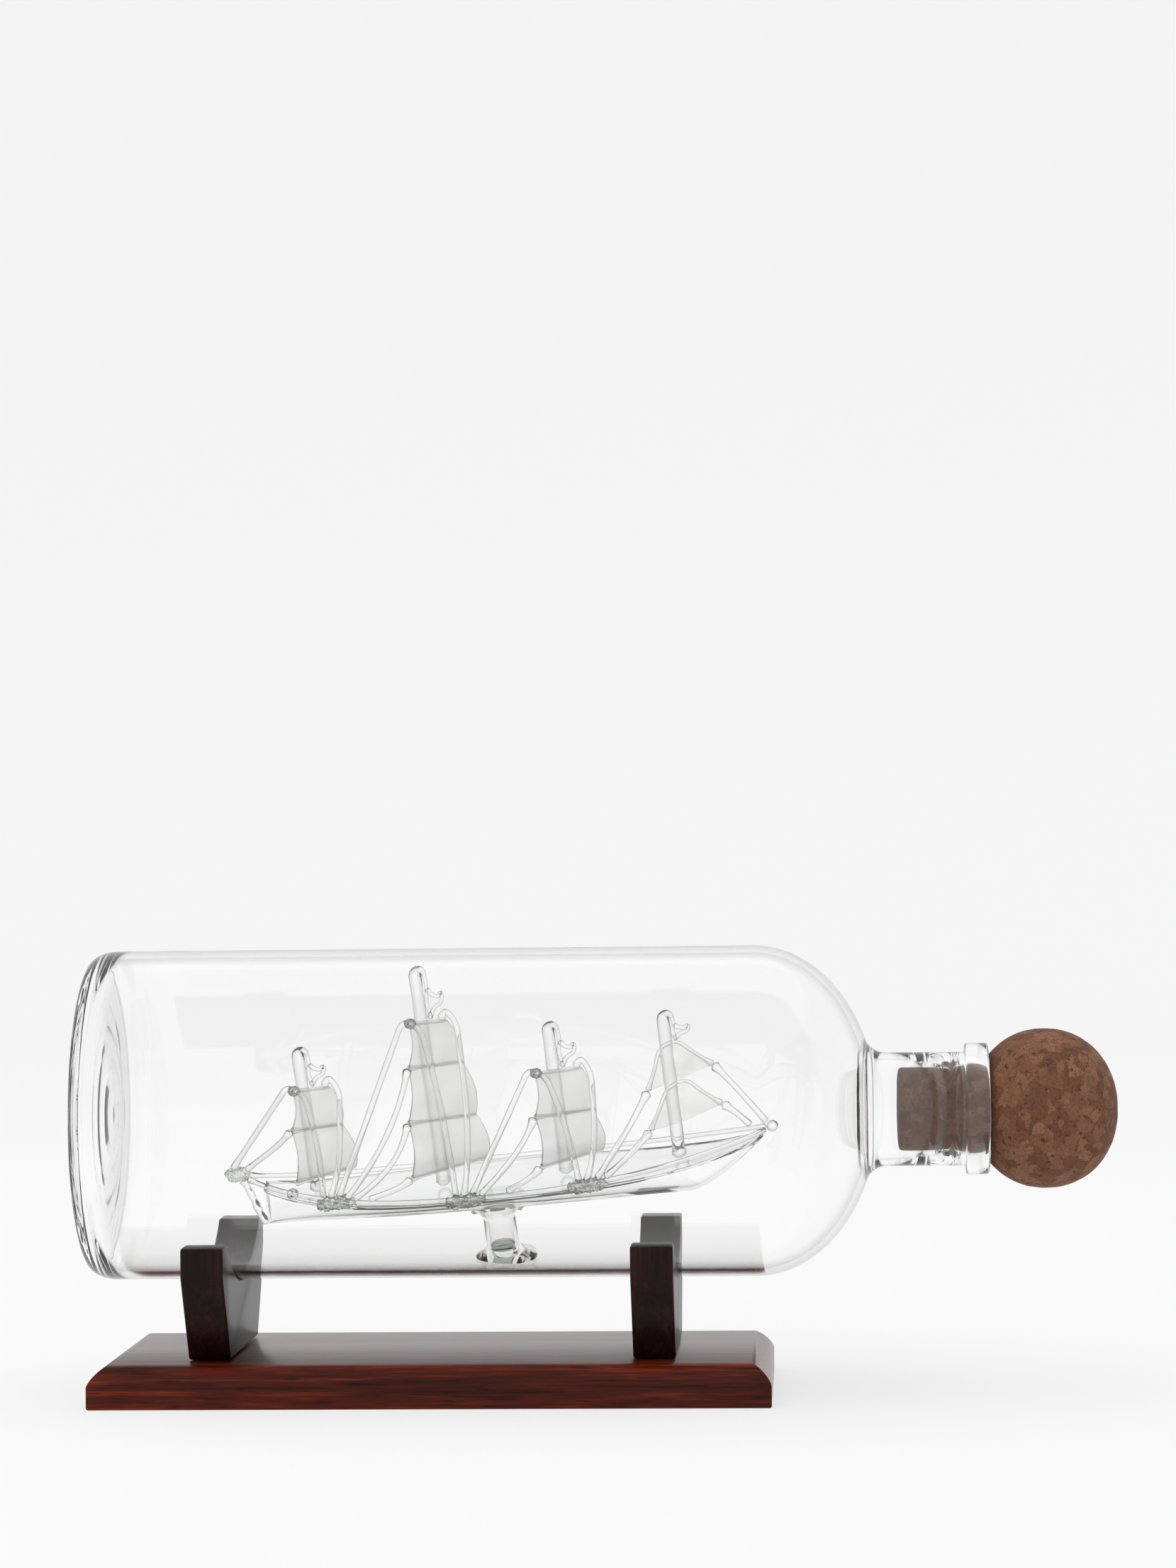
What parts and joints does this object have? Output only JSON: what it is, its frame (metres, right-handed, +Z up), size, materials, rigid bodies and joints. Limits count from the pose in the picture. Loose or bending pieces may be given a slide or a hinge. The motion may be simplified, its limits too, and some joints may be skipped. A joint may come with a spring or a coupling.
{
  "type": "ship in a bottle",
  "caption": "Lamp-worked glass sailing ship on a hollow glass pedestal inside a corked glass bottle, lying on a dark wooden cradle stand.",
  "frame": {"origin": "middle of the stand's underside", "axes": "+X along the bottle towards its cork, +Y away from the viewer towards the ship's starboard side, +Z up"},
  "size_m": [0.2957, 0.095, 0.1274],
  "materials": {
    "wood": "dark mahogany, satin lacquer",
    "steel": "zinc plated",
    "bottle_glass": "clear, polished",
    "ship_glass": "clear, flame polished",
    "frosted_glass": "frosted",
    "cork": "agglomerated cork, matte"
  },
  "bodies": {
    "stand": {"stand_base": "wood", "cradle_left": "wood", "cradle_right": "wood", "cradle_screw_1": "steel", "cradle_screw_2": "steel", "cradle_screw_3": "steel", "cradle_screw_4": "steel"},
    "bottle": {"bottle": "bottle_glass", "bow_bead": "ship_glass", "hull": "ship_glass", "joint_bead_aft": "ship_glass", "joint_bead_main": "ship_glass", "joint_bead_middle": "ship_glass", "mast_aft": "ship_glass", "mast_fore": "ship_glass", "mast_main": "ship_glass", "mast_middle": "ship_glass", "pedestal": "ship_glass", "pennant_aft": "ship_glass", "pennant_fore": "ship_glass", "pennant_main": "ship_glass", "pennant_middle": "ship_glass", "port_rail": "ship_glass", "sail_aft_1": "frosted_glass", "sail_aft_2": "frosted_glass", "sail_fore_lower": "frosted_glass", "sail_fore_upper": "frosted_glass", "sail_main_1": "frosted_glass", "sail_main_2": "frosted_glass", "sail_main_3": "frosted_glass", "sail_middle_1": "frosted_glass", "sail_middle_2": "frosted_glass", "starboard_rail": "ship_glass", "stay_aft_2": "ship_glass", "stay_aft_bent": "ship_glass", "stay_aft_far": "ship_glass", "stay_fore_lower_left": "ship_glass", "stay_fore_lower_right": "ship_glass", "stay_fore_upper_left": "ship_glass", "stay_fore_upper_right": "ship_glass", "stay_main_2": "ship_glass", "stay_main_3": "ship_glass", "stay_main_4": "ship_glass", "stay_main_bent": "ship_glass", "stay_main_far": "ship_glass", "stay_middle_2": "ship_glass", "stay_middle_3": "ship_glass", "stay_middle_bent": "ship_glass", "stay_middle_far": "ship_glass", "stern_knot": "ship_glass", "stern_post": "ship_glass"},
    "stopper": {"cork_stopper": "cork"}
  },
  "joints": [
    {"name": "bottle_lift", "type": "slide", "parent": "stand", "child": "bottle", "axis": [0, 0, 1], "range_m": [0, 0.1]},
    {"name": "stopper_pull", "type": "slide", "parent": "bottle", "child": "stopper", "axis": [1, 0, 0], "range_m": [0, 0.05]}
  ]
}
